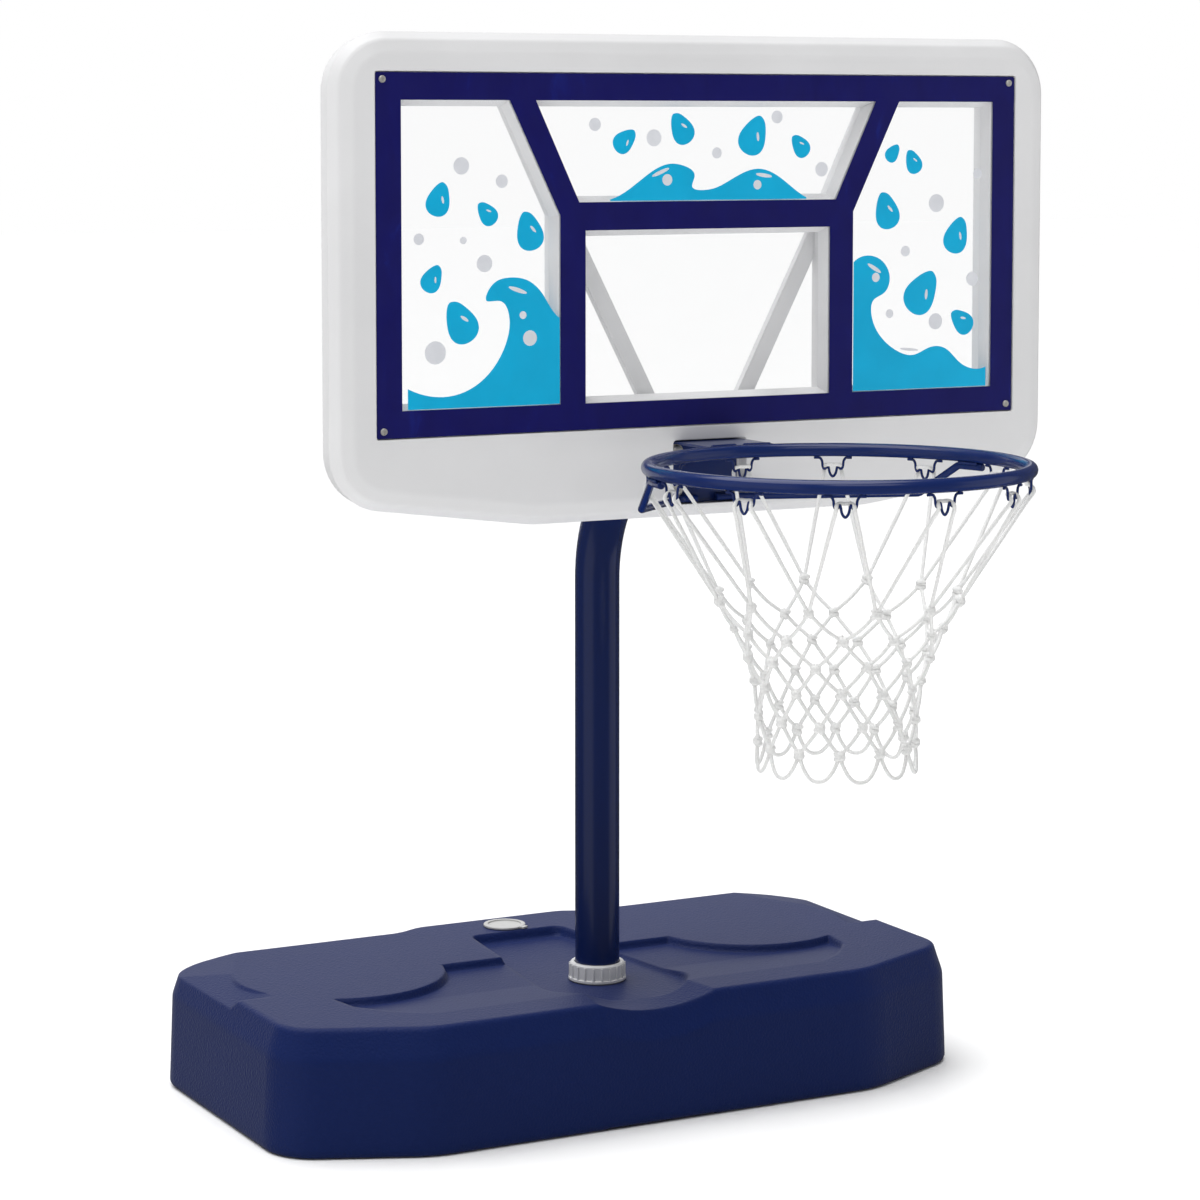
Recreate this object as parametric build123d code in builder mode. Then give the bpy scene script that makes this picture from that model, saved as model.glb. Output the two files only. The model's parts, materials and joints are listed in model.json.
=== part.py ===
from build123d import *
from math import atan, cos, degrees, pi, radians, sin, sqrt
import os

os.makedirs("parts", exist_ok=True)

# ---------------------------------------------------------------- driving sizes
# Frame: origin on the floor at the mast axis, +Z up, +X along the board to the
# right as the player sees it, -Y from the mast towards the hoop and the pool.
BASE_TOP = 139.0          # top deck of the water tank
SHOULDER_Z = 106.0        # height where the side walls turn into the shoulder
WALL_DRAFT = 4.0          # side walls lean in by this much up to the shoulder
SHOULDER_RUN = 11.0       # the shoulder leans in by this much more
TANK_WALL = 6.0
WELL_R = 30.9             # moulded well that takes the mast socket
RECESS_Z = 127.6          # floor of the recess around the mast
MOAT_Z = 131.0            # floor of the two side recesses
GRIP_Z = 127.0            # floor of the two end grips
DISC_X, DISC_Y, DISC_R = 268.0, 125.0, 121.0   # round ball decks
FILL_Y = 240.0            # filler hole behind the mast
FILL_R = 22.0

MAST_R = 25.4             # two inch steel tube
MAST_WALL = 1.6
BEND_R = 147.0
MAST_TOP = 737.0          # height of the horizontal end of the mast

RIM_Y, RIM_Z = -516.4, 762.5
RIM_R = 190.7             # ring centreline
RIM_TUBE = 7.1
BRACE_R = 3.9
HOOK_R = 1.35

BOARD_FRONT = -257.5
BOARD_WIDE = -241.5       # plane of the widest outline
BOARD_BACK = -219.5
SEAT_Y = -253.0           # floor of the panel seat
PANEL_FRONT = -256.0
FILM = 0.2
POCKET_Y = -242.0         # floor of the pocket for the rim bracket
PLATE_FRONT = -245.0
BOLT_X = 34.5
BOLT_Z = (717.0, 758.0)
BOLT_R = 3.0
SCREWS = [(380.0, 1149.6), (-380.0, 1149.6), (380.0, 793.5), (-380.0, 793.5)]

XZ_SIDE = 388.0
PANEL_LOW, PANEL_HIGH = 785.7, 1157.1

WINDOW_LEFT = [(-359.3, 1128.8), (-236.6, 1128.8), (-178.4, 1010.0), (-178.4, 813.7), (-359.3, 813.7)]
WINDOW_RIGHT = [(-x, z) for x, z in WINDOW_LEFT]
WINDOW_TOP = [(-206.6, 1128.8), (206.6, 1128.8), (156.3, 1023.4), (-156.3, 1023.4)]
WINDOW_CENTRE = [(-149.0, 994.1), (149.0, 994.1), (149.0, 813.7), (-149.0, 813.7)]
WINDOWS = [WINDOW_LEFT, WINDOW_RIGHT, WINDOW_TOP, WINDOW_CENTRE]


def front_plane(y):
    """Upright plane at the given Y; local axes are X and Z, normal towards -Y."""
    return Plane(origin=(0, y, 0), x_dir=(1, 0, 0), z_dir=(0, -1, 0))


# ---------------------------------------------------------------- base tank
def tank_outline():
    half = [(279, -158), (433, -90), (433, 285), (130, 285), (100, 300)]
    pts = half + [(-x, y) for x, y in reversed(half)]
    with BuildSketch() as outline:
        with BuildLine():
            Polyline(*pts, close=True)
        make_face()
        for (x, y), r in zip(half, (110, 64, 62, 40, 60)):
            near = [v for v in outline.vertices() if abs(abs(v.X) - x) < 0.01 and abs(v.Y - y) < 0.01]
            fillet(near, r)
    return outline.sketch


def mast_recess(g):
    with BuildPart() as tool:
        with BuildSketch(Plane.XY.offset(RECESS_Z - g)) as s:
            with BuildLine():
                Polyline((55, 207), (87, -57), (50, -104), (-50, -104), (-87, -57), (-55, 207), close=True)
            make_face()
            fillet([v for v in s.vertices() if v.Y > 100], 9)
            fillet([v for v in s.vertices() if v.Y < 0], 52)
            if g:
                offset(amount=g)
        extrude(amount=40, taper=-24)
        if not g:
            fillet(tool.faces().sort_by(Axis.Z)[0].edges(), 4)
    return tool.part


def ball_disc(g):
    with BuildPart() as disc:
        for side in (1, -1):
            with Locations((side * DISC_X, DISC_Y, 110)):
                Cone(DISC_R + 13.5 - g, DISC_R - 5.1 - g, 40, align=(Align.CENTER, Align.CENTER, Align.MIN))
    return disc.part


def side_moats(g):
    with BuildPart() as tool:
        with BuildSketch(Plane.XY.offset(MOAT_Z - g)) as s:
            with BuildLine():
                Polyline((60, 97), (180, 97), (300, 40), (318, 12), (312, -25), (284, -60), (245, -88), (60, -88), close=True)
            make_face()
            fillet([v for v in s.vertices() if v.X > 230 and v.Y < 0], 18)
            if g:
                offset(amount=g)
        extrude(amount=50, taper=-24)
        with BuildSketch(Plane.YZ):
            with BuildLine():
                Polyline((160, MOAT_Z - g), (-5, MOAT_Z - g), (-92, BASE_TOP - g), (-140, BASE_TOP + 5 - g), (-140, 190), (160, 190), close=True)
            make_face()
        extrude(amount=450, mode=Mode.INTERSECT)
        mirror(about=Plane.YZ)
        add(ball_disc(g), mode=Mode.SUBTRACT)
    return tool.part


def end_grips(g):
    with BuildPart() as tool:
        with BuildSketch(Plane.YZ.offset(330)):
            with BuildLine():
                Polyline((-14 - g, 190), (99 - g, 110), (340, 110), (340, 190), close=True)
            make_face()
        extrude(amount=140)
        # the floor falls towards the end wall, and more at the back corner
        with BuildSketch(Plane.XZ):
            with BuildLine():
                Polyline((470, GRIP_Z - 13 - g), (300, GRIP_Z + 32.9 - g), (300, 200), (470, 200), close=True)
            make_face()
        extrude(amount=-400, mode=Mode.INTERSECT)
        with BuildSketch(Plane(origin=(381, 270, 131 - g), x_dir=(1, 0, -0.167), z_dir=(0.167, 0.077, 1))):
            Rectangle(160, 700)
        extrude(amount=45)
        mirror(about=Plane.YZ)
        add(ball_disc(g), mode=Mode.SUBTRACT)
    return tool.part


def front_scoop(g):
    y0 = -144.0 + 0.9 * g
    down = Vector(0, -SHOULDER_RUN, -(BASE_TOP - SHOULDER_Z)).normalized()
    back = Vector(0, 44, 2.6).normalized()
    with BuildPart() as tool:
        for direction, length in ((down, 35.8), (back, 70.0)):
            with BuildSketch(front_plane(y0)):
                with BuildLine():
                    ThreePointArc((-75 - g, BASE_TOP), (0, BASE_TOP - 14 - g), (75 + g, BASE_TOP))
                    Polyline((75 + g, BASE_TOP), (75 + g, BASE_TOP + 60), (-75 - g, BASE_TOP + 60), (-75 - g, BASE_TOP))
                make_face()
            extrude(amount=length, dir=direction)
    return tool.part


wall_taper = degrees(atan(WALL_DRAFT / SHOULDER_Z))
shoulder_taper = degrees(atan(SHOULDER_RUN / (BASE_TOP - SHOULDER_Z)))

with BuildPart() as tank_cavity:
    with BuildSketch(Plane.XY.offset(TANK_WALL)):
        add(tank_outline())
        offset(amount=-TANK_WALL - 0.2)
    extrude(amount=SHOULDER_Z - TANK_WALL - 1.5, taper=wall_taper)
    ceiling = tank_cavity.faces().sort_by(Axis.Z)[-1]
    extrude(ceiling, amount=BASE_TOP - TANK_WALL - (SHOULDER_Z - 1.5), taper=shoulder_taper)
    for hollow in (mast_recess, side_moats, end_grips, front_scoop):
        add(hollow(TANK_WALL), mode=Mode.SUBTRACT)
    Cylinder(WELL_R + TANK_WALL, 140, align=(Align.CENTER, Align.CENTER, Align.MIN), mode=Mode.SUBTRACT)

with BuildPart() as base_tank:
    add(tank_outline())
    extrude(amount=SHOULDER_Z, taper=wall_taper)
    deck = base_tank.faces().sort_by(Axis.Z)[-1]
    extrude(deck, amount=BASE_TOP - SHOULDER_Z, taper=shoulder_taper)
    for z, r in ((SHOULDER_Z, 22), (BASE_TOP, 6), (0, 7)):
        rings = base_tank.edges().filter_by(lambda e: abs(e.bounding_box().max.Z - e.bounding_box().min.Z) < 0.01)
        fillet([e for e in rings if abs(e.center().Z - z) < 0.1], r)
    for hollow in (mast_recess, side_moats, end_grips, front_scoop):
        add(hollow(0), mode=Mode.SUBTRACT)
    add(tank_cavity.part, mode=Mode.SUBTRACT)
    with Locations((0, 0, 6)):
        Cylinder(WELL_R, 160, align=(Align.CENTER, Align.CENTER, Align.MIN), mode=Mode.SUBTRACT)
    # moulded neck under the filler hole
    with Locations((0, FILL_Y, 120)):
        Cylinder(FILL_R + 3.5, BASE_TOP - 122, align=(Align.CENTER, Align.CENTER, Align.MIN))
    with Locations((0, FILL_Y, 110)):
        Cylinder(FILL_R, 60, align=(Align.CENTER, Align.CENTER, Align.MIN), mode=Mode.SUBTRACT)
    # shallow relief under the middle of the long edges, so the tank stands on its ends
    for y in (-150, 285):
        with Locations((0, y, 0)):
            Box(138, 50, 5, mode=Mode.SUBTRACT)
base_tank.part.label = "base_tank"
export_step(base_tank.part, "parts/base_tank.step")

# ---------------------------------------------------------------- mast socket, collar
with BuildPart() as socket_sleeve:
    with Locations((0, 0, 6)):
        Cylinder(WELL_R - 0.1, RECESS_Z - 0.4 - 6, align=(Align.CENTER, Align.CENTER, Align.MIN))
    with Locations((0, 0, RECESS_Z - 0.4)):
        Cylinder(28.1, 141 - RECESS_Z + 0.4, align=(Align.CENTER, Align.CENTER, Align.MIN))
    chamfer(socket_sleeve.edges().filter_by(GeomType.CIRCLE).sort_by(Axis.Z)[-1], 0.8)
    for z in (130.2, 134.2, 138.2):
        with Locations((0, 0, z)):
            Cone(28.1, 28.9, 0.7, align=(Align.CENTER, Align.CENTER, Align.MIN))
        with Locations((0, 0, z + 0.7)):
            Cone(28.9, 28.1, 0.7, align=(Align.CENTER, Align.CENTER, Align.MIN))
    with Locations((0, 0, 10)):
        Cylinder(MAST_R + 0.08, 150, align=(Align.CENTER, Align.CENTER, Align.MIN), mode=Mode.SUBTRACT)
socket_sleeve.part.label = "socket_sleeve"
export_step(socket_sleeve.part, "parts/socket_sleeve.step")

with BuildPart() as clamp_ring:
    with Locations((0, 0, 141.1)):
        Cylinder(28.3, 4.2, align=(Align.CENTER, Align.CENTER, Align.MIN))
    chamfer(clamp_ring.edges().filter_by(GeomType.CIRCLE).sort_by(Axis.Z)[-1], 1.4)
    Cylinder(MAST_R + 0.08, 400, mode=Mode.SUBTRACT)
    with Locations((0, 27, 143)):
        Box(3, 8, 20, mode=Mode.SUBTRACT)
clamp_ring.part.label = "clamp_ring"
export_step(clamp_ring.part, "parts/clamp_ring.step")

with BuildPart() as collar_nut:
    with BuildSketch(Plane.XZ):
        with BuildLine():
            Polyline((29.3, 129), (32.95, 129), (32.95, 131.6), (31.3, 132.4), (31.3, 147.2), (29.9, 149), (26.3, 149),
                     (26.3, 146.2), (29.3, 146.2), close=True)
        make_face()
    revolve(axis=Axis.Z)
    with PolarLocations(31.7, 20):
        with Locations((0, 0, 131)):
            Box(2.2, 2.3, 15.4, align=(Align.CENTER, Align.CENTER, Align.MIN))
    fillet(collar_nut.edges().filter_by(Axis.Z).filter_by(lambda e: (e.center().X ** 2 + e.center().Y ** 2) > 32.6 ** 2), 0.4)
collar_nut.part.label = "collar_nut"
export_step(collar_nut.part, "parts/collar_nut.step")

# ---------------------------------------------------------------- filler plug
TAB = radians(-58)
with BuildPart() as fill_plug:
    with Locations((0, FILL_Y, BASE_TOP + 0.8)):
        Cylinder(25.3, 2.4, align=(Align.CENTER, Align.CENTER, Align.MIN))
    fillet(fill_plug.edges().filter_by(GeomType.CIRCLE).sort_by(Axis.Z)[-1], 1.0)
    with Locations(Location((25.6 * cos(TAB), FILL_Y + 25.6 * sin(TAB), BASE_TOP + 0.8), (0, 0, -58))):
        Box(9, 10, 2.0, align=(Align.CENTER, Align.CENTER, Align.MIN))
    with Locations((0, FILL_Y, BASE_TOP + 1.9)):
        Cylinder(20.0, 5, align=(Align.CENTER, Align.CENTER, Align.MIN), mode=Mode.SUBTRACT)
    with Locations((0, FILL_Y, 124)):
        Cylinder(FILL_R - 0.4, BASE_TOP + 0.8 - 124, align=(Align.CENTER, Align.CENTER, Align.MIN))
        Cylinder(FILL_R - 3.4, BASE_TOP - 125.5, align=(Align.CENTER, Align.CENTER, Align.MIN), mode=Mode.SUBTRACT)
fill_plug.part.label = "fill_plug"
export_step(fill_plug.part, "parts/fill_plug.step")

with BuildPart() as plug_gasket:
    with Locations((0, FILL_Y, BASE_TOP + 0.02)):
        Cylinder(24.4, 0.76, align=(Align.CENTER, Align.CENTER, Align.MIN))
        Cylinder(FILL_R + 0.1, 0.76, align=(Align.CENTER, Align.CENTER, Align.MIN), mode=Mode.SUBTRACT)
plug_gasket.part.label = "plug_gasket"
export_step(plug_gasket.part, "parts/plug_gasket.step")

# ---------------------------------------------------------------- mast
MAST_FOOT = 13.3
BEND_Z = MAST_TOP - BEND_R
with BuildPart() as mast_tube:
    with BuildLine():
        Line((0, 0, MAST_FOOT), (0, 0, BEND_Z))
        ThreePointArc((0, 0, BEND_Z), (0, -BEND_R + BEND_R * cos(pi / 4), BEND_Z + BEND_R * sin(pi / 4)), (0, -BEND_R, MAST_TOP))
        Line((0, -BEND_R, MAST_TOP), (0, BOARD_BACK + 3.5, MAST_TOP))
    with BuildSketch(Plane.XY.offset(MAST_FOOT)):
        Circle(MAST_R)
        Circle(MAST_R - MAST_WALL, mode=Mode.SUBTRACT)
    sweep()
mast_tube.part.label = "mast_tube"
export_step(mast_tube.part, "parts/mast_tube.step")

with BuildPart() as mast_foot:
    with Locations((0, 0, 10.2)):
        Cylinder(MAST_R - 0.1, 3.0, align=(Align.CENTER, Align.CENTER, Align.MIN))
    with Locations((0, 0, 13.2)):
        Cylinder(MAST_R - MAST_WALL - 0.05, 18, align=(Align.CENTER, Align.CENTER, Align.MIN))
    with Locations((0, 0, 15)):
        Cylinder(MAST_R - MAST_WALL - 3, 20, align=(Align.CENTER, Align.CENTER, Align.MIN), mode=Mode.SUBTRACT)
mast_foot.part.label = "mast_foot"
export_step(mast_foot.part, "parts/mast_foot.step")

BOLTS = [(x, z) for x in (-BOLT_X, BOLT_X) for z in BOLT_Z]
with BuildPart() as mast_plate:
    with BuildSketch(front_plane(BOARD_BACK + 3.5)):
        with Locations((0, MAST_TOP)):
            RectangleRounded(100, 84, 9)
        with Locations(*BOLTS):
            Circle(BOLT_R + 0.3, mode=Mode.SUBTRACT)
    extrude(amount=3.5)
mast_plate.part.label = "mast_plate"
export_step(mast_plate.part, "parts/mast_plate.step")

# ---------------------------------------------------------------- board
def board_outline(inset):
    with BuildSketch() as s:
        with BuildLine():
            Polyline((434.4, 1197.8), (434.4, 718.3), (205, 688), (-205, 688), (-434.4, 718.3), (-434.4, 1197.8), close=True)
        make_face()
        fillet([v for v in s.vertices() if abs(v.X) > 400], 61)
        fillet([v for v in s.vertices() if abs(abs(v.X) - 205) < 1], 140)
        if inset:
            offset(amount=-inset)
    return s.sketch


def window_tool(pts, grow):
    with BuildPart() as tool:
        for y_wide, y_narrow in ((SEAT_Y, BOARD_WIDE), (BOARD_BACK, BOARD_WIDE)):
            with BuildSketch(front_plane(y_wide)):
                with BuildLine():
                    Polyline(*pts, close=True)
                make_face()
                if grow:
                    offset(amount=grow, kind=Kind.INTERSECTION)
            with BuildSketch(front_plane(y_narrow)):
                with BuildLine():
                    Polyline(*pts, close=True)
                make_face()
                offset(amount=grow - 6.2, kind=Kind.INTERSECTION)
            loft(ruled=True)
    return tool.part


with BuildPart() as board_frame:
    for pair in (((BOARD_BACK, 3), (BOARD_WIDE, 0)), ((BOARD_WIDE, 0), (-252.5, 8)), ((-252.5, 8), (BOARD_FRONT, 22))):
        for y, inset in pair:
            with BuildSketch(front_plane(y)):
                add(board_outline(inset))
        loft(ruled=True)
    flat_rings = board_frame.edges().filter_by(lambda e: abs(e.bounding_box().max.Y - e.bounding_box().min.Y) < 0.01)
    fillet([e for e in flat_rings if abs(e.center().Y - BOARD_FRONT) < 0.1], 14)
    flat_rings = board_frame.edges().filter_by(lambda e: abs(e.bounding_box().max.Y - e.bounding_box().min.Y) < 0.01)
    fillet([e for e in flat_rings if abs(e.center().Y + 252.5) < 0.1], 7)
    # hollow inside, kept clear of the openings, the panel seat and the bracket pocket
    with BuildSketch(front_plane(-223.5)) as hollow_sketch:
        add(board_outline(13))
        for pts in WINDOWS:
            with BuildSketch(front_plane(-223.5), mode=Mode.PRIVATE) as w:
                with BuildLine():
                    Polyline(*pts, close=True)
                make_face()
                offset(amount=3.5, kind=Kind.INTERSECTION)
            add(w.sketch_local, mode=Mode.SUBTRACT)
        for side in (-1, 1):
            with BuildLine(mode=Mode.PRIVATE) as v:
                Polyline((side * 165.6, 996), (side * 141, 996), (side * 46.5, 811), (side * 71, 811), close=True)
            make_face(v.edges(), mode=Mode.SUBTRACT)
    extrude(amount=26, mode=Mode.SUBTRACT)
    with BuildSketch(front_plane(-249.0)):
        add(board_outline(27))
        with Locations((0, (PANEL_LOW + PANEL_HIGH) / 2)):
            Rectangle(2 * XZ_SIDE + 8, PANEL_HIGH - PANEL_LOW + 8, mode=Mode.SUBTRACT)
    extrude(amount=4.8, mode=Mode.SUBTRACT)
    # panel seat and openings
    with BuildSketch(front_plane(SEAT_Y)):
        with Locations((0, (PANEL_LOW + PANEL_HIGH) / 2)):
            RectangleRounded(2 * XZ_SIDE + 1.2, PANEL_HIGH - PANEL_LOW + 1.2, 3)
    extrude(amount=20, mode=Mode.SUBTRACT)
    for pts in WINDOWS:
        add(window_tool(pts, 0), mode=Mode.SUBTRACT)
    # V-shaped stays across the middle opening, at the back of the frame
    for side in (-1, 1):
        with BuildSketch(front_plane(BOARD_BACK)):
            with BuildLine():
                Polyline((side * 165.0, 997.2), (side * 144.3, 997.2), (side * 47.2, 811.2), (side * 67.9, 811.2), close=True)
            make_face()
        extrude(amount=8.5)
    # pocket for the rim bracket: a solid block with the pocket cut into it
    with BuildSketch(front_plane(-240.5)):
        with Locations((0, 736)):
            Rectangle(98, 78)
    extrude(amount=12)
    with BuildSketch(front_plane(-238.0)):
        with Locations((0, 736)):
            Rectangle(98, 78)
    extrude(amount=4.5)
    with BuildSketch(front_plane(POCKET_Y)):
        with Locations((0, 736)):
            RectangleRounded(90, 69, 4)
    extrude(amount=30, mode=Mode.SUBTRACT)
    with BuildSketch(front_plane(-200)):
        with Locations(*BOLTS):
            Circle(BOLT_R + 0.3)
    extrude(amount=70, mode=Mode.SUBTRACT)
    with BuildSketch(front_plane(-245)):
        with Locations(*SCREWS):
            Circle(1.8)
    extrude(amount=10, mode=Mode.SUBTRACT)
board_frame.part.label = "board_frame"
export_step(board_frame.part, "parts/board_frame.step")

with BuildPart() as spacer_sleeves:
    with BuildSketch(front_plane(-223.6)):
        with Locations(*BOLTS):
            Circle(5.5)
            Circle(BOLT_R + 0.25, mode=Mode.SUBTRACT)
    extrude(amount=14.3)
spacer_sleeves.part.label = "spacer_sleeves"
export_step(spacer_sleeves.part, "parts/spacer_sleeves.step")

with BuildPart() as clear_panel:
    with BuildSketch(front_plane(SEAT_Y)):
        with Locations((0, (PANEL_LOW + PANEL_HIGH) / 2)):
            RectangleRounded(2 * XZ_SIDE, PANEL_HIGH - PANEL_LOW, 2.5)
        with Locations(*SCREWS):
            Circle(2.2, mode=Mode.SUBTRACT)
    extrude(amount=3)
clear_panel.part.label = "clear_panel"
export_step(clear_panel.part, "parts/clear_panel.step")

with BuildPart() as border_film:
    with BuildSketch(front_plane(PANEL_FRONT)):
        with Locations((0, (PANEL_LOW + PANEL_HIGH) / 2)):
            RectangleRounded(2 * XZ_SIDE - 1, PANEL_HIGH - PANEL_LOW - 1, 2)
        for pts in WINDOWS:
            with BuildLine(mode=Mode.PRIVATE) as hole:
                Polyline(*pts, close=True)
            make_face(hole.edges(), mode=Mode.SUBTRACT)
        with Locations(*SCREWS):
            Circle(2.2, mode=Mode.SUBTRACT)
    extrude(amount=FILM)
border_film.part.label = "border_film"
export_step(border_film.part, "parts/border_film.step")

with BuildPart() as panel_screws:
    with BuildSketch(front_plane(PANEL_FRONT - FILM)):
        with Locations(*SCREWS):
            Circle(3.7)
    extrude(amount=1.9)
    fillet(panel_screws.edges().filter_by(GeomType.CIRCLE).filter_by(lambda e: e.center().Y < PANEL_FRONT - FILM - 1.5), 1.2)
    with BuildSketch(front_plane(-243)):
        with Locations(*SCREWS):
            Circle(1.75)
    extrude(amount=-(PANEL_FRONT - FILM) - 243)
    with BuildSketch(front_plane(PANEL_FRONT - FILM - 0.9)):
        with Locations(*SCREWS):
            RegularPolygon(1.5, 6)
    extrude(amount=3, mode=Mode.SUBTRACT)
panel_screws.part.label = "panel_screws"
export_step(panel_screws.part, "parts/panel_screws.step")


# ---------------------------------------------------------------- water pattern film
def teardrop(cx, cz, size, turn):
    """Closed outline of a falling drop: round below, drawn out to a blunt tip."""
    pts = []
    for i in range(14):
        t = 2 * pi * i / 14
        r = size * (0.5 + 0.12 * cos(t) ** 3 * (1 if cos(t) > 0 else 0.2))
        x, z = r * sin(t) * (1 - 0.22 * cos(t)), r * cos(t) * 1.25
        a = radians(turn)
        pts.append((cx + x * cos(a) - z * sin(a), cz + x * sin(a) + z * cos(a)))
    return pts


WAVE_LEFT = [(-353, 836), (-334, 829), (-305, 827), (-276, 837), (-254, 857), (-240, 884), (-238, 908), (-248, 923), (-264, 924),
             (-259, 938), (-239, 947), (-217, 944), (-199, 929), (-187, 911), (-179.4, 904)]
WAVE_RIGHT = [(179.4, 955), (199, 962), (217, 955), (226, 937), (219, 921), (205, 913), (203, 896), (214, 874), (234, 858), (258, 852),
              (280, 860), (299, 858), (318, 842), (338, 834), (353, 836)]
WAVE_TOP = [(-120, 1026), (-100, 1035), (-78, 1050), (-54, 1062), (-33, 1061), (-19, 1050), (-22, 1039), (-6, 1035), (14, 1040), (36, 1051),
            (60, 1057), (82, 1050), (101, 1037), (119, 1026)]
DROPS = [(-292, 900, 34, 28), (-326, 946, 22, -30), (-214, 992, 30, 14), (-262, 1012, 20, 40), (-318, 1026, 26, -18), 
         (266, 918, 38, -35), (222, 1008, 30, 15), (322, 886, 24, 50), (312, 980, 30, -20), (256, 1062, 20, 25), (228, 1072, 16, -40),
         (-34, 1098, 26, 30), (52, 1090, 32, -25), (112, 1080, 20, 40), (-104, 1086, 22, -50)]
BUBBLES = [(-322, 872, 12), (-266, 962, 9), (-340, 988, 6), (-290, 986, 4), (-246, 1046, 7), (-292, 1062, 9), (-214, 884, 8), (-222, 908, 4),
           (286, 888, 9), (286, 1018, 10), (334, 934, 8), (246, 966, 6), (340, 1050, 6), (226, 898, 5), (208, 938, 5),
           (-68, 1090, 9), (82, 1112, 7), (-138, 1104, 7), (138, 1056, 8), (8, 1074, 6), (-52, 1046, 6), (58, 1040, 5)]
GLINTS = [(x + 0.2 * s * cos(radians(a + 35)), z + 0.2 * s * sin(radians(a + 35)), 0.15 * s, 0.05 * s, a + 120) for x, z, s, a in DROPS if s > 19]
GLINTS += [(-228, 934, 11, 2.2, -18), (206, 948, 10, 2.2, -30), (-60, 1054, 11, 2.0, 22), (252, 858, 12, 1.8, -6), (66, 1050, 10, 2.0, -8)]


with BuildPart() as splash_film:
    with BuildSketch(front_plane(PANEL_FRONT)):
        for points, low in ((WAVE_LEFT, 814.7), (WAVE_RIGHT, 814.7), (WAVE_TOP, 1024.4)):
            with BuildLine(mode=Mode.PRIVATE) as crest:
                Spline(*points)
                Polyline(points[-1], (points[-1][0], low), (points[0][0], low), points[0])
            make_face(crest.edges())
        for drop in DROPS:
            with BuildLine(mode=Mode.PRIVATE) as outline:
                Spline(*teardrop(*drop), periodic=True)
            make_face(outline.edges())
        for x, z, r in BUBBLES:
            with Locations((x, z)):
                Circle(r, mode=Mode.SUBTRACT)
        for x, z, a, b, turn in GLINTS:
            with Locations(Location((x, z, 0), (0, 0, turn))):
                Ellipse(a, b, mode=Mode.SUBTRACT)
    extrude(amount=FILM)
splash_film.part.label = "splash_film"
export_step(splash_film.part, "parts/splash_film.step")

with BuildPart() as bubble_film:
    with BuildSketch(front_plane(PANEL_FRONT)):
        for x, z, r in BUBBLES:
            with Locations((x, z)):
                Circle(r - 0.15)
        for x, z, a, b, turn in GLINTS:
            with Locations(Location((x, z, 0), (0, 0, turn))):
                Ellipse(a - 0.15, b - 0.15)
    extrude(amount=FILM)
bubble_film.part.label = "bubble_film"
export_step(bubble_film.part, "parts/bubble_film.step")

# ---------------------------------------------------------------- rim
with BuildPart() as rim_ring:
    with BuildSketch(Plane(origin=(0, RIM_Y, RIM_Z), x_dir=(1, 0, 0), z_dir=(0, -1, 0))):
        with Locations((RIM_R, 0)):
            Circle(RIM_TUBE)
    revolve(axis=Axis((0, RIM_Y, RIM_Z), (0, 0, 1)))
rim_ring.part.label = "rim_ring"
export_step(rim_ring.part, "parts/rim_ring.step")

BRACKET_TOP = 769.0
with BuildPart() as rim_bracket:
    with BuildSketch(Plane.YZ.offset(-40)):
        with BuildLine():
            Polyline((POCKET_Y, 702), (POCKET_Y, BRACKET_TOP), (-335, BRACKET_TOP), (-335, BRACKET_TOP - 3), (PLATE_FRONT, BRACKET_TOP - 3),
                     (PLATE_FRONT, 702), close=True)
        make_face()
    extrude(amount=80)
    fillet(rim_bracket.edges().filter_by(Axis.X).filter_by(lambda e: abs(e.center().Y - POCKET_Y) < 0.1 and e.center().Z > 760), 2.6)
    fillet(rim_bracket.edges().filter_by(Axis.Y).filter_by(lambda e: e.center().Z < 710), 5)
    # the top plate ends on the ring
    with BuildSketch(Plane.XY.offset(740)):
        with Locations((0, RIM_Y)):
            Circle(RIM_R)
    extrude(amount=60, mode=Mode.SUBTRACT)
    add(rim_ring.part, mode=Mode.SUBTRACT)
    with BuildSketch(front_plane(-230)):
        with Locations(*BOLTS):
            Circle(BOLT_R + 0.3)
    extrude(amount=25, mode=Mode.SUBTRACT)
rim_bracket.part.label = "rim_bracket"
export_step(rim_bracket.part, "parts/rim_bracket.step")


def brace(side):
    z_top = RIM_Z - RIM_TUBE - BRACE_R - 0.05
    a0, a1 = radians(7), radians(17.5)
    ring_pts = [(side * RIM_R * cos(a), RIM_Y + RIM_R * sin(a), z_top) for a in (a0, (a0 + a1) / 2, a1)]
    path = ring_pts + [(side * 166, -409, 718.4), (side * 32, -249.2, 706.6), (side * 12, -249.2, 706.6)]
    with BuildPart() as rod:
        with BuildLine() as line:
            FilletPolyline(*path, radius=9)
        with BuildSketch(Plane(origin=line.line @ 0, z_dir=line.line % 0)):
            Circle(BRACE_R)
        sweep()
        fillet(rod.edges().filter_by(GeomType.CIRCLE).sort_by(Axis.Y)[:1], 1.6)
    return rod.part


with BuildPart() as rim_brace_left:
    add(brace(-1))
rim_brace_left.part.label = "rim_brace_left"
export_step(rim_brace_left.part, "parts/rim_brace_left.step")

with BuildPart() as rim_brace_right:
    add(brace(1))
rim_brace_right.part.label = "rim_brace_right"
export_step(rim_brace_right.part, "parts/rim_brace_right.step")

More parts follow.
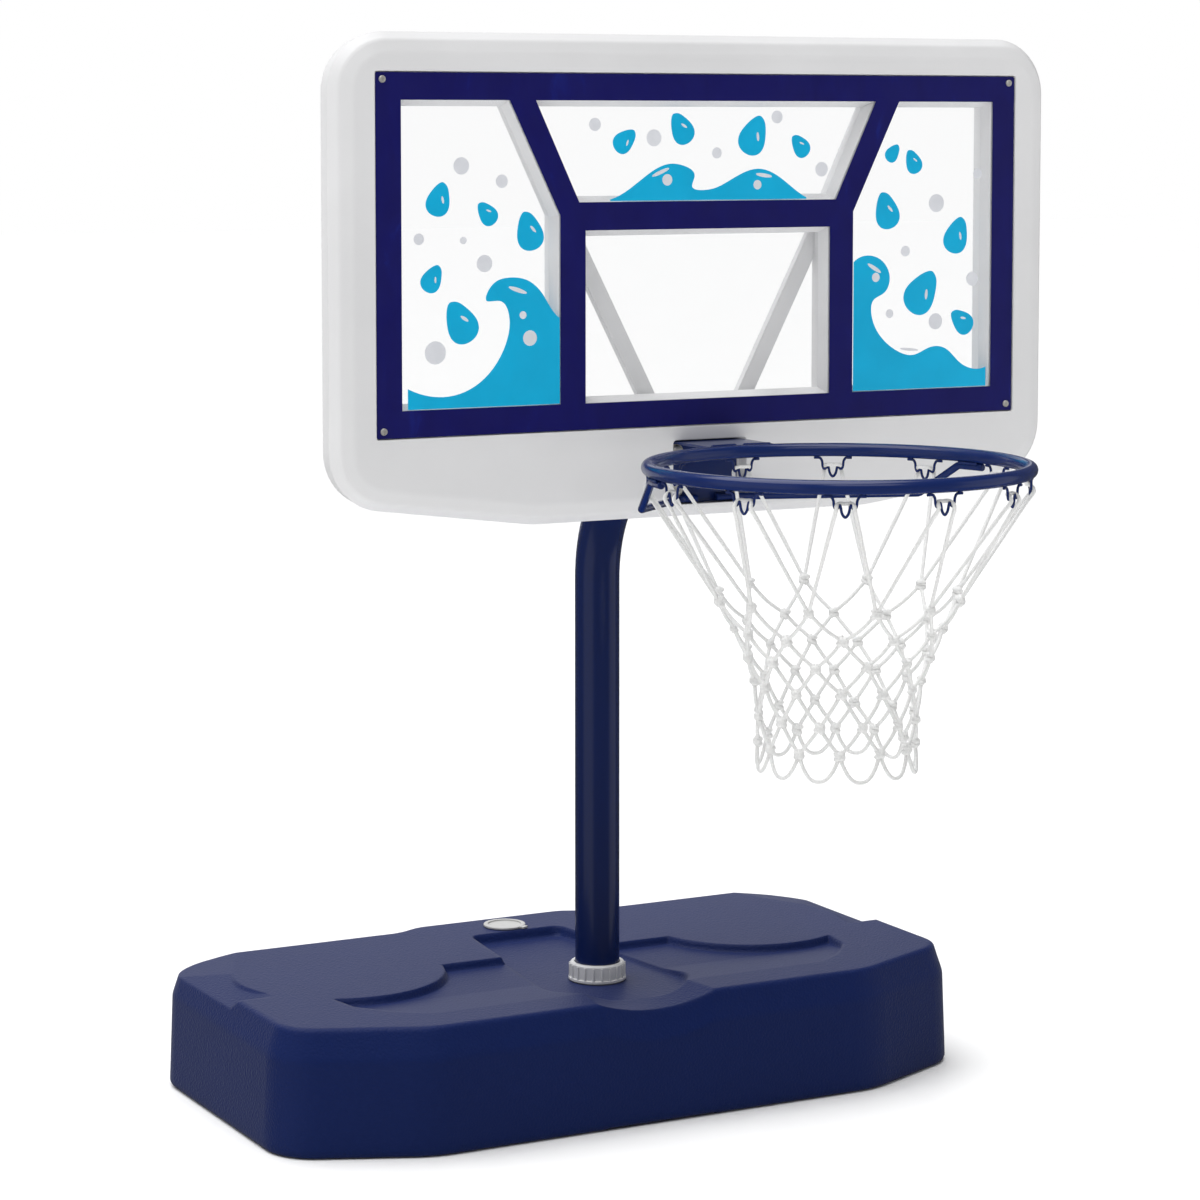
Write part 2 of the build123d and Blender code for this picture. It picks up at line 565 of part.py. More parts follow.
# one bent-wire hook, drawn in the plane tangent to the ring
HOOK_TOP = RIM_Z - RIM_TUBE - HOOK_R - 0.05
half_hook = [(14.4, 0), (11.4, -3.6), (10.8, -8.2), (8.8, -11.8), (6.6, -10.4), (5.4, -8.4), (4.0, -12.6), (2.0, -18.2)]
hook_pts = half_hook + [(0, -19.8)] + [(-x, z) for x, z in reversed(half_hook)]
with BuildPart() as hook:
    with BuildLine() as wire:
        Line((RIM_R, 20, HOOK_TOP), (RIM_R, 14.4, HOOK_TOP))
        Spline(*[(RIM_R, x, HOOK_TOP + z) for x, z in hook_pts], tangents=[(0, -1, 0), (0, -1, 0)], tangent_scalars=[0.8, 0.8])
        Line((RIM_R, -14.4, HOOK_TOP), (RIM_R, -20, HOOK_TOP))
    with BuildSketch(Plane(origin=(RIM_R, 20, HOOK_TOP), z_dir=(0, -1, 0))):
        Circle(HOOK_R)
    sweep()
with BuildPart() as net_hooks:
    with Locations((0, RIM_Y, 0)):
        with PolarLocations(0, 12):
            add(hook.part)
net_hooks.part.label = "net_hooks"
export_step(net_hooks.part, "parts/net_hooks.step")

# ---------------------------------------------------------------- net, as a plain open funnel
NET_ROWS = [(186.2, 741), (124.6, 633), (104.4, 601.5), (93.5, 574.5), (84.5, 546.7), (81.1, 513.6), (79.2, 485.7), (80.5, 457.5)]
with BuildPart() as net:
    with BuildSketch(Plane(origin=(0, RIM_Y, 0), x_dir=(1, 0, 0), z_dir=(0, -1, 0))):
        with BuildLine():
            Polyline(*([(r + 1.2, z) for r, z in NET_ROWS] + [(r - 1.2, z) for r, z in reversed(NET_ROWS)]), close=True)
        make_face()
    revolve(axis=Axis((0, RIM_Y, 0), (0, 0, 1)))
net.part.label = "net"
export_step(net.part, "parts/net.step")

# ---------------------------------------------------------------- bolts through the bracket, board and mast plate
with BuildPart() as rim_washers:
    with BuildSketch(front_plane(PLATE_FRONT)):
        with Locations(*BOLTS):
            Circle(7.6)
            Circle(BOLT_R + 0.2, mode=Mode.SUBTRACT)
    extrude(amount=1.2)
rim_washers.part.label = "rim_washers"
export_step(rim_washers.part, "parts/rim_washers.step")

with BuildPart() as rim_bolts:
    with BuildSketch(front_plane(PLATE_FRONT - 1.2)):
        with Locations(*BOLTS):
            Circle(6.2)
    extrude(amount=4.2)
    fillet(rim_bolts.edges().filter_by(GeomType.CIRCLE).filter_by(lambda e: e.center().Y < PLATE_FRONT - 4), 3.4)
    with BuildSketch(front_plane(-203.5)):
        with Locations(*BOLTS):
            Circle(BOLT_R)
    extrude(amount=-(PLATE_FRONT - 1.2) - 203.5)
    chamfer(rim_bolts.edges().filter_by(GeomType.CIRCLE).filter_by(lambda e: e.center().Y > -204), 0.6)
rim_bolts.part.label = "rim_bolts"
export_step(rim_bolts.part, "parts/rim_bolts.step")

with BuildPart() as back_washers:
    with BuildSketch(front_plane(BOARD_BACK + 3.5 + 1.3)):
        with Locations(*BOLTS):
            Circle(7.0)
            Circle(BOLT_R + 0.2, mode=Mode.SUBTRACT)
    extrude(amount=1.3)
back_washers.part.label = "back_washers"
export_step(back_washers.part, "parts/back_washers.step")

with BuildPart() as lock_nuts:
    with BuildSketch(front_plane(BOARD_BACK + 3.5 + 1.3 + 5.4)):
        with Locations(*BOLTS):
            RegularPolygon(5.0, 6, major_radius=False)
            Circle(BOLT_R + 0.05, mode=Mode.SUBTRACT)
    extrude(amount=5.4)
    with BuildSketch(front_plane(BOARD_BACK + 3.5 + 1.3 + 7.2)):
        with Locations(*BOLTS):
            Circle(4.6)
            Circle(BOLT_R + 0.05, mode=Mode.SUBTRACT)
    extrude(amount=1.8)
lock_nuts.part.label = "lock_nuts"
export_step(lock_nuts.part, "parts/lock_nuts.step")
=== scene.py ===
import json
import math

import bmesh
import bpy
from mathutils import Euler, Matrix, Vector


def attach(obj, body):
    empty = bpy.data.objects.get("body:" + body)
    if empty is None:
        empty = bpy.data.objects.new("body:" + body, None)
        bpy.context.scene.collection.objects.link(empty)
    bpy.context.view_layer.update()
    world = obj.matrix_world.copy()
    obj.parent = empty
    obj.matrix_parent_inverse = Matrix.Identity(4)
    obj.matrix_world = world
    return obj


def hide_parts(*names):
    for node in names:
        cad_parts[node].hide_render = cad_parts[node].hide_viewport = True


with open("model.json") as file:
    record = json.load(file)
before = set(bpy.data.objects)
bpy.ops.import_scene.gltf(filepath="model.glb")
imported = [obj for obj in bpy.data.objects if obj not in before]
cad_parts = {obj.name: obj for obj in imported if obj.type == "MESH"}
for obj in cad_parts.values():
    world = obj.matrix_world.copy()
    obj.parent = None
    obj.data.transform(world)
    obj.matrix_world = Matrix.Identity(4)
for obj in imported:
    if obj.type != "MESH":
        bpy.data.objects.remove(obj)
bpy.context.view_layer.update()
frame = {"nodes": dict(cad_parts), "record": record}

NODES = frame["nodes"]
scene = bpy.context.scene
scene.view_settings.view_transform = "Standard"
scene.view_settings.look = "None"

RIM_Y, RIM_Z, RIM_R = -0.5164, 0.7625, 0.1907
HOOK_TOP = RIM_Z - 0.0071 - 0.00135 - 0.00005


# ------------------------------------------------------------------ colour and node helpers
def lin(r, g, b):
    """sRGB 0-255 to scene linear."""
    def one(v):
        v /= 255.0
        return v / 12.92 if v <= 0.04045 else ((v + 0.055) / 1.055) ** 2.4
    return (one(r), one(g), one(b), 1.0)


class Mat:
    """A Principled material with its node helpers; every texture is in object metres."""

    def __init__(self, name):
        self.m = bpy.data.materials.new(name)
        self.m.use_nodes = True
        self.t = self.m.node_tree
        self.bsdf = next(n for n in self.t.nodes if n.type == "BSDF_PRINCIPLED")
        self.coord = self.t.nodes.new("ShaderNodeTexCoord")
        self.height = None

    def link(self, a, b):
        self.t.links.new(a, b)

    def set(self, **values):
        for key, v in values.items():
            self.bsdf.inputs[key.replace("_", " ")].default_value = v
        return self

    def mapping(self, scale=(1, 1, 1), rotation=(0, 0, 0), location=(0, 0, 0)):
        n = self.t.nodes.new("ShaderNodeMapping")
        n.inputs["Scale"].default_value = scale
        n.inputs["Rotation"].default_value = rotation
        n.inputs["Location"].default_value = location
        self.link(self.coord.outputs["Object"], n.inputs["Vector"])
        return n.outputs["Vector"]

    def noise(self, scale, detail=2.0, rough=0.5, vector=None, distortion=0.0):
        n = self.t.nodes.new("ShaderNodeTexNoise")
        n.inputs["Scale"].default_value = scale
        n.inputs["Detail"].default_value = detail
        n.inputs["Roughness"].default_value = rough
        n.inputs["Distortion"].default_value = distortion
        self.link(vector or self.coord.outputs["Object"], n.inputs["Vector"])
        return n.outputs["Fac"]

    def voronoi(self, scale, feature="SMOOTH_F1", vector=None):
        n = self.t.nodes.new("ShaderNodeTexVoronoi")
        n.feature = feature
        n.inputs["Scale"].default_value = scale
        self.link(vector or self.coord.outputs["Object"], n.inputs["Vector"])
        return n.outputs["Distance"]

    def ramp(self, fac, stops):
        n = self.t.nodes.new("ShaderNodeValToRGB")
        el = n.color_ramp.elements
        while len(el) > 1:
            el.remove(el[-1])
        el[0].position, el[0].color = stops[0]
        for pos, col in stops[1:]:
            e = el.new(pos)
            e.color = col
        self.link(fac, n.inputs["Fac"])
        return n.outputs["Color"]

    def range(self, fac, low, high, a=0.3, b=0.7):
        n = self.t.nodes.new("ShaderNodeMapRange")
        n.inputs["From Min"].default_value = a
        n.inputs["From Max"].default_value = b
        n.inputs["To Min"].default_value = low
        n.inputs["To Max"].default_value = high
        self.link(fac, n.inputs["Value"])
        return n.outputs["Result"]

    def math(self, op, a, b=None):
        n = self.t.nodes.new("ShaderNodeMath")
        n.operation = op
        for i, v in enumerate((a, b)):
            if v is None:
                continue
            if isinstance(v, (int, float)):
                n.inputs[i].default_value = v
            else:
                self.link(v, n.inputs[i])
        return n.outputs["Value"]

    def colour(self, fac, dark, light, a=0.3, b=0.7):
        self.link(self.ramp(fac, [(a, dark), (b, light)]), self.bsdf.inputs["Base Color"])
        return self

    def rough(self, fac, low, high, a=0.3, b=0.7):
        self.link(self.range(fac, low, high, a, b), self.bsdf.inputs["Roughness"])
        return self

    def bevel(self, radius, samples=6):
        """Rounds the look of sharp moulded or folded edges; called before the bumps."""
        n = self.t.nodes.new("ShaderNodeBevel")
        n.samples = samples
        n.inputs["Radius"].default_value = radius
        self.height = n.outputs["Normal"]
        self.link(self.height, self.bsdf.inputs["Normal"])
        return self

    def bump(self, height, distance, strength=1.0):
        n = self.t.nodes.new("ShaderNodeBump")
        n.inputs["Distance"].default_value = distance
        n.inputs["Strength"].default_value = strength
        self.link(height, n.inputs["Height"])
        if self.height is not None:
            self.link(self.height, n.inputs["Normal"])
        self.height = n.outputs["Normal"]
        self.link(self.height, self.bsdf.inputs["Normal"])
        return self


def tint(c, k):
    return (c[0] * k, c[1] * k, c[2] * k, 1.0)


# ------------------------------------------------------------------ materials
M = {}

m = Mat("tank_plastic")
cell, fine, broad = m.voronoi(430), m.noise(1100, 3), m.noise(5, 2)
navy = lin(7, 28, 81)
m.bevel(0.007, 8)
m.colour(broad, tint(navy, 0.97), tint(navy, 1.04))
m.rough(fine, 0.47, 0.53)
m.bump(cell, 0.0009, 0.6)
m.bump(fine, 0.0003, 0.3)
m.set(Specular_IOR_Level=0.14, Sheen_Weight=0.10, Sheen_Roughness=0.4)
M["tank_plastic"] = m.m

m = Mat("collar_plastic")
grey = lin(214, 214, 215)
m.bevel(0.0007, 4)
m.colour(m.noise(40, 3), tint(grey, 0.95), tint(grey, 1.04))
m.rough(m.noise(150, 3), 0.32, 0.42)
m.bump(m.noise(700, 2), 0.0001, 0.4)
M["collar_plastic"] = m.m

m = Mat("plug_plastic")
white = lin(184, 184, 183)
m.bevel(0.0006, 4)
m.colour(m.noise(50, 3), tint(white, 0.95), tint(white, 1.03))
m.rough(m.noise(150, 3), 0.3, 0.42)
m.bump(m.noise(600, 2), 0.0001, 0.3)
M["plug_plastic"] = m.m

m = Mat("gasket_rubber")
m.colour(m.noise(200, 3), lin(26, 26, 28), lin(38, 38, 40))
m.rough(m.noise(300, 3), 0.6, 0.8)
m.bump(m.noise(900, 2), 0.0001, 0.4)
M["gasket_rubber"] = m.m

m = Mat("foot_plastic")
m.colour(m.noise(90, 3), lin(20, 20, 22), lin(32, 32, 34))
m.rough(m.noise(200, 3), 0.5, 0.65)
m.bump(m.noise(700, 2), 0.0001, 0.4)
M["foot_plastic"] = m.m


def paint(name, base, low, high, peel=0.00004):
    """Powder coat: a slight orange peel and broad, faint colour drift."""
    p = Mat(name)
    p.colour(p.noise(14, 3), tint(base, 0.98), tint(base, 1.03))
    p.rough(p.noise(240, 2), low, high)
    p.bump(p.noise(240, 1), peel, 0.04)
    p.set(Specular_IOR_Level=0.28, Coat_Weight=0.25, Coat_Roughness=0.14)
    return p.m


M["mast_paint"] = paint("mast_paint", lin(10, 27, 74), 0.24, 0.27)
M["rim_paint"] = paint("rim_paint", lin(17, 37, 92), 0.24, 0.27, 0.00002)

m = Mat("board_plastic")
board = lin(226, 226, 227)
m.bevel(0.0014, 4)
m.colour(m.noise(7, 4), tint(board, 0.965), tint(board, 1.02))
m.rough(m.noise(90, 4), 0.40, 0.50)
m.bump(m.noise(420, 3), 0.00012, 0.5)
M["board_plastic"] = m.m

m = Mat("panel_clear")
m.colour(m.noise(6, 2), lin(150, 158, 164), lin(164, 172, 178))
m.rough(m.noise(30, 3), 0.04, 0.09)
m.set(Alpha=0.03, IOR=1.49)
m.bump(m.noise(4, 1), 0.0002, 0.2)
M["panel_clear"] = m.m

m = Mat("border_print")
mott = m.noise(26, 5, 0.6, m.mapping((1.6, 1, 0.7)), 0.6)
m.link(m.ramp(mott, [(0.30, lin(17, 15, 88)), (0.62, lin(18, 18, 96)), (0.80, lin(18, 32, 122))]), m.bsdf.inputs["Base Color"])
m.rough(m.noise(40, 4), 0.32, 0.40)
m.set(Specular_IOR_Level=0.22)
m.bump(m.noise(60, 2), 0.00008, 0.3)
M["border_print"] = m.m

m = Mat("splash_print")
m.set(Specular_IOR_Level=0.25)
m.colour(m.noise(22, 4), lin(0, 170, 216), lin(2, 178, 225))
m.rough(m.noise(60, 3), 0.30, 0.38)
m.bump(m.noise(80, 2), 0.00005, 0.3)
M["splash_print"] = m.m

m = Mat("bubble_print")
m.colour(m.noise(40, 4), lin(218, 220, 226), lin(228, 230, 235))
m.rough(m.noise(60, 3), 0.30, 0.40)
m.bump(m.noise(80, 2), 0.00005, 0.3)
M["bubble_print"] = m.m

m = Mat("fastener_steel")
m.colour(m.noise(300, 4), lin(186, 184, 179), lin(216, 214, 209))
m.rough(m.noise(400, 4), 0.26, 0.44)
m.bump(m.noise(900, 2), 0.00006, 0.4)
m.set(Metallic=0.55)
M["fastener_steel"] = m.m

m = Mat("net_cord")
strand = m.noise(900, 3, 0.6)
m.colour(strand, lin(214, 214, 213), lin(240, 240, 239))
m.rough(m.noise(500, 2), 0.62, 0.8)
m.bump(strand, 0.0004, 0.6)
m.set(Sheen_Weight=0.25, Sheen_Roughness=0.5)
M["net_cord"] = m.m

SLOTS = {s["node"]: s["material_slot"] for s in frame["record"]["subparts"]}
for name, obj in NODES.items():
    obj.data.materials.clear()
    obj.data.materials.append(M[SLOTS[name]])


# ------------------------------------------------------------------ mesh helpers
def finish_mesh(name, verts, faces, material, body="mast", smooth=True):
    mesh = bpy.data.meshes.new(name)
    mesh.from_pydata(verts, [], faces)
    mesh.validate()
    if smooth:
        mesh.polygons.foreach_set("use_smooth", [True] * len(mesh.polygons))
    mesh.materials.append(M[material])
    obj = bpy.data.objects.new(name, mesh)
    scene.collection.objects.link(obj)
    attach(obj, body)
    return obj


def spline_points(ctrl, step):
    """Evenly spaced points on a centripetal Catmull-Rom curve through ctrl."""
    c = [2 * ctrl[0] - ctrl[1]] + list(ctrl) + [2 * ctrl[-1] - ctrl[-2]]
    dense = []
    for i in range(1, len(c) - 2):
        p0, p1, p2, p3 = c[i - 1], c[i], c[i + 1], c[i + 2]
        t0 = 0.0
        t1 = t0 + max((p1 - p0).length, 1e-6) ** 0.5
        t2 = t1 + max((p2 - p1).length, 1e-6) ** 0.5
        t3 = t2 + max((p3 - p2).length, 1e-6) ** 0.5
        n = max(6, int((p2 - p1).length / step * 2))
        for k in range(n):
            t = t1 + (t2 - t1) * k / n
            a1 = (t1 - t) / (t1 - t0) * p0 + (t - t0) / (t1 - t0) * p1
            a2 = (t2 - t) / (t2 - t1) * p1 + (t - t1) / (t2 - t1) * p2
            a3 = (t3 - t) / (t3 - t2) * p2 + (t - t2) / (t3 - t2) * p3
            b1 = (t2 - t) / (t2 - t0) * a1 + (t - t0) / (t2 - t0) * a2
            b2 = (t3 - t) / (t3 - t1) * a2 + (t - t1) / (t3 - t1) * a3
            dense.append((t2 - t) / (t2 - t1) * b1 + (t - t1) / (t2 - t1) * b2)
    dense.append(ctrl[-1])
    run = [0.0]
    for a, b in zip(dense, dense[1:]):
        run.append(run[-1] + (b - a).length)
    count = max(3, round(run[-1] / step))
    out, j = [], 0
    for k in range(count + 1):
        s = run[-1] * k / count
        while j < len(run) - 2 and run[j + 1] < s:
            j += 1
        f = (s - run[j]) / max(run[j + 1] - run[j], 1e-12)
        out.append(dense[j].lerp(dense[j + 1], min(max(f, 0), 1)))
    return out


def tube(verts, faces, pts, radius, sides=12, lobes=0, depth=0.0, pitch=0.011, taper=0.0):
    """A closed tube along pts, added to verts and faces. With lobes, it is a laid cord whose strands turn along it."""
    tangent = [(pts[min(i + 1, len(pts) - 1)] - pts[max(i - 1, 0)]).normalized() for i in range(len(pts))]
    up = Vector((0, 0, 1)) if abs(tangent[0].z) < 0.9 else Vector((1, 0, 0))
    normal = (up - tangent[0] * up.dot(tangent[0])).normalized()
    base, s = len(verts), 0.0
    for i, p in enumerate(pts):
        if i:
            s += (pts[i] - pts[i - 1]).length
            normal = (normal - tangent[i] * normal.dot(tangent[i])).normalized()
        side = tangent[i].cross(normal)
        end = min(i, len(pts) - 1 - i)
        k = 1.0 - taper * (1 - min(end / 3.0, 1.0)) ** 2
        for j in range(sides):
            a = 2 * math.pi * j / sides
            r = radius * k
            if lobes:
                r *= 1 - depth + depth * abs(math.cos(lobes / 2 * (a - 2 * math.pi * s / pitch)))
            verts.append(p + normal * (r * math.cos(a)) + side * (r * math.sin(a)))
    n = len(pts)
    for i in range(n - 1):
        for j in range(sides):
            a, b = base + i * sides + j, base + i * sides + (j + 1) % sides
            faces.append((a, b, b + sides, a + sides))
    faces.append(tuple(base + j for j in reversed(range(sides))))
    faces.append(tuple(base + (n - 1) * sides + j for j in range(sides)))


def ring_point(angle, r, z):
    a = math.radians(angle)
    return Vector((r * math.cos(a), RIM_Y + r * math.sin(a), z))


# ------------------------------------------------------------------ knotted net
CORD_R = 0.00205


def knot_mesh():
    """One tightened net knot: a bight with two wraps over it, fused into one skin."""
    verts, faces = [], []
    for tilt, dz, major, minor in ((18, 0.00155, 0.0024, 0.00195), (-16, -0.00155, 0.0025, 0.00195)):
        rot = Euler((math.radians(tilt), math.radians(tilt * 0.6), 0)).to_matrix()
        pts = [rot @ Vector((major * 1.12 * math.cos(t), major * 0.9 * math.sin(t), 0)) + Vector((0, 0, dz))
               for t in [2 * math.pi * k / 28 for k in range(29)]]
        tube(verts, faces, pts, minor, 12)
    for turn in (38, -38):
        d = Vector((math.sin(math.radians(turn)), 0, math.cos(math.radians(turn))))
        tube(verts, faces, [d * (0.0047 * (k / 8 - 0.5) * 2) for k in range(9)], 0.00205, 12)
    mesh = bpy.data.meshes.new("knot_draft")
    mesh.from_pydata(verts, [], faces)
    obj = bpy.data.objects.new("knot_draft", mesh)
    scene.collection.objects.link(obj)
    rem = obj.modifiers.new("fuse", "REMESH")
    rem.mode, rem.voxel_size = "VOXEL", 0.00042
    sm = obj.modifiers.new("soften", "SMOOTH")
    sm.factor, sm.iterations = 0.5, 3
    dg = bpy.context.evaluated_depsgraph_get()
    made = bpy.data.meshes.new_from_object(obj.evaluated_get(dg))
    v = [x.co.copy() for x in made.vertices]
    f = [tuple(p.vertices) for p in made.polygons]
    bpy.data.objects.remove(obj)
    bpy.data.meshes.remove(mesh)
    bpy.data.meshes.remove(made)
    return v, f


ROWS = [(0.1246, 0.6330), (0.1044, 0.6015), (0.0935, 0.5745), (0.0838, 0.5467), (0.0811, 0.5136), (0.0789, 0.4857)]


def wobble(i, k, size):
    """A small fixed unevenness, so that no two meshes of the net are alike."""
    return size * math.sin(12.9898 * (i + 1) + 78.233 * (k + 1) + 37.7 * math.sin(3.1 * i + 5.7 * k))


def knot_at(row, k):
    r, z = ROWS[row]
    offset = 15 if row % 2 == 0 else 0
    return ring_point(30 * k + offset + wobble(row, k, 0.8), r + wobble(row + 7, k, 0.0009), z + wobble(row + 13, k, 0.0013))


def sagging(a, b, drop, out=0.0):
    mid = (a + b) / 2
    away = Vector((mid.x, mid.y - RIM_Y, 0)).normalized()
    return [a, a.lerp(b, 0.5) + Vector((0, 0, -drop)) + away * out, b]


def build_net():
    verts, faces = [], []
    # the twelve top loops, each laid in the two cups of its hook
    for k in range(12):
        ang = math.radians(30 * k)
        radial = Vector((math.cos(ang), math.sin(ang), 0))
        tangent = Vector((-math.sin(ang), math.cos(ang), 0))
        centre = Vector((0, RIM_Y, HOOK_TOP)) + radial * RIM_R

        def at(s, d, r):
            return centre + tangent * (s / 1000) + radial * (r / 1000) + Vector((0, 0, d / 1000))

        before, after = knot_at(0, (k - 1) % 12), knot_at(0, k)
        left = [at(-8.9, -12.8, 3.0), at(-8.2, -8.6, 0.4), at(-5.6, -6.9, -3.0)]
        right = [at(5.6, -6.9, -3.0), at(8.2, -8.6, 0.4), at(8.9, -12.8, 3.0)]
        first = left[0].lerp(before, 0.12)
        last = right[-1].lerp(after, 0.12)
        ctrl = [before, before.lerp(left[0], 0.5), first] + left + [at(0, -7.2, -3.8)] + right + [last, after.lerp(right[-1], 0.5), after]
        tube(verts, faces, spline_points(ctrl, 0.0014), CORD_R, 12, 3, 0.10)
    # the diamond meshes
    for row in range(5):
        for k in range(12):
            a = knot_at(row, k)
            if row % 2 == 0:
                below = (knot_at(row + 1, k), knot_at(row + 1, (k + 1) % 12))
            else:
                below = (knot_at(row + 1, (k - 1) % 12), knot_at(row + 1, k))
            for n, b in enumerate(below):
                drop = (0.0022 if row == 0 else 0.0010) + wobble(row, 2 * k + n, 0.0006)
                tube(verts, faces, spline_points(sagging(a, b, drop, 0.0008), 0.0014), CORD_R, 12, 3, 0.10)
    # the bottom loops
    for k in range(12):
        a, b = knot_at(5, k), knot_at(5, (k + 1) % 12)
        pts = []
        for i in range(13):
            t = i / 12
            u = 1 - abs(2 * t - 1) ** 2.3
            p = a.lerp(b, t)
            away = Vector((p.x, p.y - RIM_Y, 0)).normalized()
            pts.append(p + away * (0.0045 * u) + Vector((0, 0, -(0.0262 + wobble(3, k, 0.0008)) * u)))
        tube(verts, faces, spline_points(pts, 0.0014), CORD_R, 12, 3, 0.10)
    # the knots
    kv, kf = knot_mesh()
    for row in range(6):
        for k in range(12):
            c = knot_at(row, k)
            ang = math.atan2(c.y - RIM_Y, c.x) + math.pi / 2
            size = 1.28 + wobble(row + 3, k, 0.09)
            turn = Matrix.Rotation(ang, 3, "Z") @ Matrix.Rotation(wobble(row, k, 0.25), 3, "Y") @ Matrix.Scale(size, 3)
            base = len(verts)
            verts.extend(c + turn @ v for v in kv)
            faces.extend(tuple(base + i for i in f) for f in kf)
    return verts, faces


net_verts, net_faces = build_net()
net = finish_mesh("knotted_net", net_verts, net_faces, "net_cord")
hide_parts("net")


# ------------------------------------------------------------------ weld beads
def bead(verts, faces, pts, radius, pitch=0.0021):
    """A run of weld: a tube whose thickness ripples at every puddle."""
    line = spline_points(pts, 0.0004)
    tangent = [(line[min(i + 1, len(line) - 1)] - line[max(i - 1, 0)]).normalized() for i in range(len(line))]
    up = Vector((0, 0, 1)) if abs(tangent[0].z) < 0.9 else Vector((1, 0, 0))
    normal = (up - tangent[0] * up.dot(tangent[0])).normalized()
    base, s, sides = len(verts), 0.0, 10
    for i, p in enumerate(line):
        if i:
            s += (line[i] - line[i - 1]).length
            normal = (normal - tangent[i] * normal.dot(tangent[i])).normalized()
        side = tangent[i].cross(normal)
        end = min(i, len(line) - 1 - i)
        r = radius * (0.86 + 0.14 * abs(math.sin(math.pi * s / pitch))) * min(1.0, 0.35 + end / 5.0)
        for j in range(sides):
            a = 2 * math.pi * j / sides
            verts.append(p + normal * (r * math.cos(a)) + side * (r * math.sin(a)))
    n = len(line)
    for i in range(n - 1):
        for j in range(sides):
            a, b = base + i * sides + j, base + i * sides + (j + 1) % sides
            faces.append((a, b, b + sides, a + sides))
    faces.append(tuple(base + j for j in reversed(range(sides))))
    faces.append(tuple(base + (n - 1) * sides + j for j in range(sides)))


wv, wf = [], []
# hook tabs on the underside of the ring
for k in range(12):
    ang = math.radians(30 * k)
    radial = Vector((math.cos(ang), math.sin(ang), 0))
    tangent = Vector((-math.sin(ang), math.cos(ang), 0))
    for side in (-1, 1):
        pts = [Vector((0, RIM_Y, HOOK_TOP + 0.0010)) + radial * (RIM_R - 0.0003) + tangent * (side * s) for s in (0.0148, 0.0168, 0.0190)]
        bead(wv, wf, pts, 0.0019)
# top plate of the bracket on the ring
for x0, x1 in ((-0.036, -0.004), (0.004, 0.036)):
    pts = []
    for i in range(7):
        x = x0 + (x1 - x0) * i / 6
        r = RIM_R + 0.0059
        pts.append(Vector((x, RIM_Y + math.sqrt(r * r - x * x), 0.7692)))
    bead(wv, wf, pts, 0.0016)
# braces under the ring and on the bracket
for side in (-1, 1):
    for off in (-0.0036, 0.0036):
        pts = []
        for a in (8.5, 11.5, 14.5, 17):
            r = RIM_R + off
            pts.append(Vector((side * r * math.cos(math.radians(a)), RIM_Y + r * math.sin(math.radians(a)), RIM_Z - 0.0079)))
        bead(wv, wf, pts, 0.0017)
    for dz in (0.0031, -0.0031):
        pts = [Vector((side * x, -0.2462, 0.7066 + dz)) for x in (0.0135, 0.020, 0.0265)]
        bead(wv, wf, pts, 0.0017)
finish_mesh("weld_beads", wv, wf, "rim_paint")

# weld round the end of the mast on its plate
wv, wf = [], []
pts = [Vector((0.0262 * math.cos(t), -0.2149, 0.737 + 0.0262 * math.sin(t))) for t in [2 * math.pi * i / 36 for i in range(37)]]
bead(wv, wf, pts, 0.0024, 0.0034)
finish_mesh("mast_weld", wv, wf, "mast_paint")

# ------------------------------------------------------------------ stage
floor_mesh = bpy.data.meshes.new("floor")
floor_mesh.from_pydata([(-30, -30, -0.0006), (30, -30, -0.0006), (30, 30, -0.0006), (-30, 30, -0.0006)], [], [(0, 1, 2, 3)])
floor = bpy.data.objects.new("floor", floor_mesh)
scene.collection.objects.link(floor)
fm = Mat("floor_paper")
fm.colour(fm.noise(3, 2), lin(252, 252, 252), lin(254, 254, 254))
fm.rough(fm.noise(20, 2), 0.5, 0.6)
fm.set(Specular_IOR_Level=0.25)
floor_mesh.materials.append(fm.m)
floor.visible_glossy = False

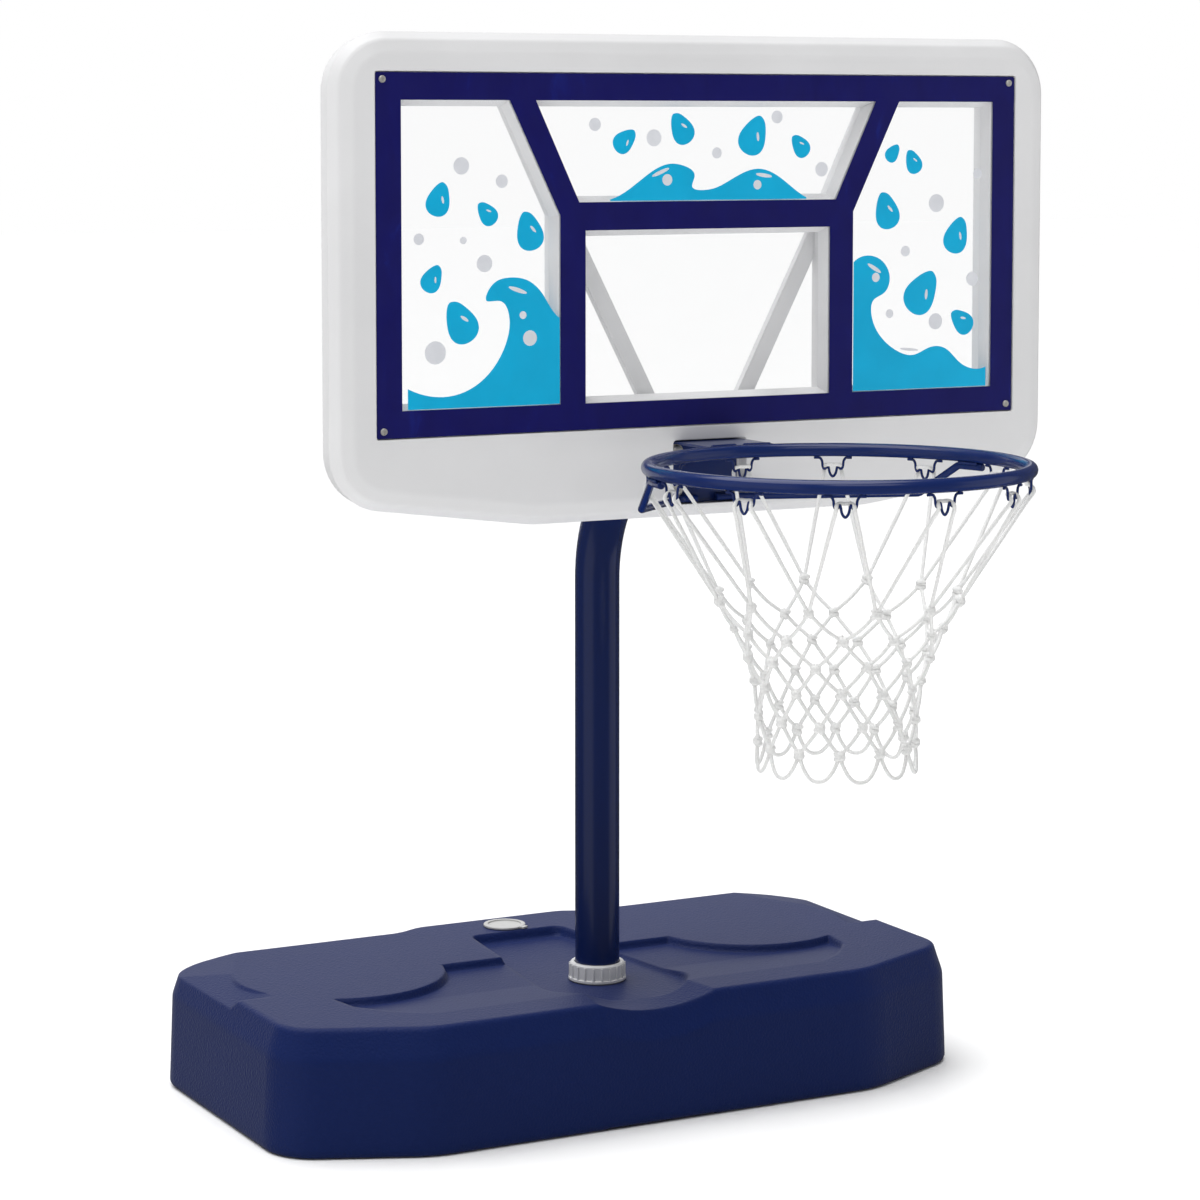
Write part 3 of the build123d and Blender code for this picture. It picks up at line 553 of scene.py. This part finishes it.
world = bpy.data.worlds.new("studio")
scene.world = world
world.use_nodes = True
wt = world.node_tree
bg = next(n for n in wt.nodes if n.type == "BACKGROUND")
bg.inputs["Color"].default_value = (1, 1, 1, 1)
bg.inputs["Strength"].default_value = 0.10
white_bg = wt.nodes.new("ShaderNodeBackground")
white_bg.inputs["Color"].default_value = (1, 1, 1, 1)
white_bg.inputs["Strength"].default_value = 1.0
path = wt.nodes.new("ShaderNodeLightPath")
mix = wt.nodes.new("ShaderNodeMixShader")
out = next(n for n in wt.nodes if n.type == "OUTPUT_WORLD")
wt.links.new(path.outputs["Is Camera Ray"], mix.inputs["Fac"])
wt.links.new(bg.outputs["Background"], mix.inputs[1])
wt.links.new(white_bg.outputs["Background"], mix.inputs[2])
wt.links.new(mix.outputs["Shader"], out.inputs["Surface"])


def aim(obj, at):
    obj.rotation_euler = (Vector(at) - obj.location).to_track_quat("-Z", "Y").to_euler()


def area(name, at, target, size, size_y, energy):
    data = bpy.data.lights.new(name, "AREA")
    data.shape = "RECTANGLE"
    data.size, data.size_y, data.energy = size, size_y, energy
    o = bpy.data.objects.new(name, data)
    scene.collection.objects.link(o)
    o.location = at
    aim(o, target)
    o.visible_camera = False
    return o


sun = bpy.data.lights.new("overhead", "SUN")
sun.energy, sun.angle = 3.45, math.radians(70)
sun_obj = bpy.data.objects.new("overhead", sun)
scene.collection.objects.link(sun_obj)
sun_obj.location = (0, 0, 4)
sun_obj.rotation_euler = (math.radians(-8), math.radians(-12), 0)

area("key", (-0.8, -3.4, 3.4), (0, -0.2, 0.7), 2.6, 1.4, 28)
area("left", (-3.4, -0.9, 0.6), (0, -0.1, 0.6), 3.6, 4.4, 22)
area("right", (3.2, -1.9, 0.6), (0, -0.1, 0.6), 3.0, 4.4, 20)
area("back", (0.9, 4.2, 1.7), (0, 0, 0.5), 5.0, 2.8, 40)

cam_data = bpy.data.cameras.new("camera")
cam = bpy.data.objects.new("camera", cam_data)
scene.collection.objects.link(cam)
cam_data.sensor_width = 36.0
cam_data.sensor_fit = "HORIZONTAL"
cam_data.lens = 102.925
cam_data.shift_y = -0.15
cam.location = (-1.8075, -3.4185, 1.1039)
yaw, pitch = math.radians(27.914), math.radians(4.922)
look = Vector((math.sin(yaw) * math.cos(pitch), math.cos(yaw) * math.cos(pitch), -math.sin(pitch)))
cam.rotation_euler = look.to_track_quat("-Z", "Y").to_euler()
cam_data.clip_start, cam_data.clip_end = 0.05, 100
scene.camera = cam

bpy.context.view_layer.update()
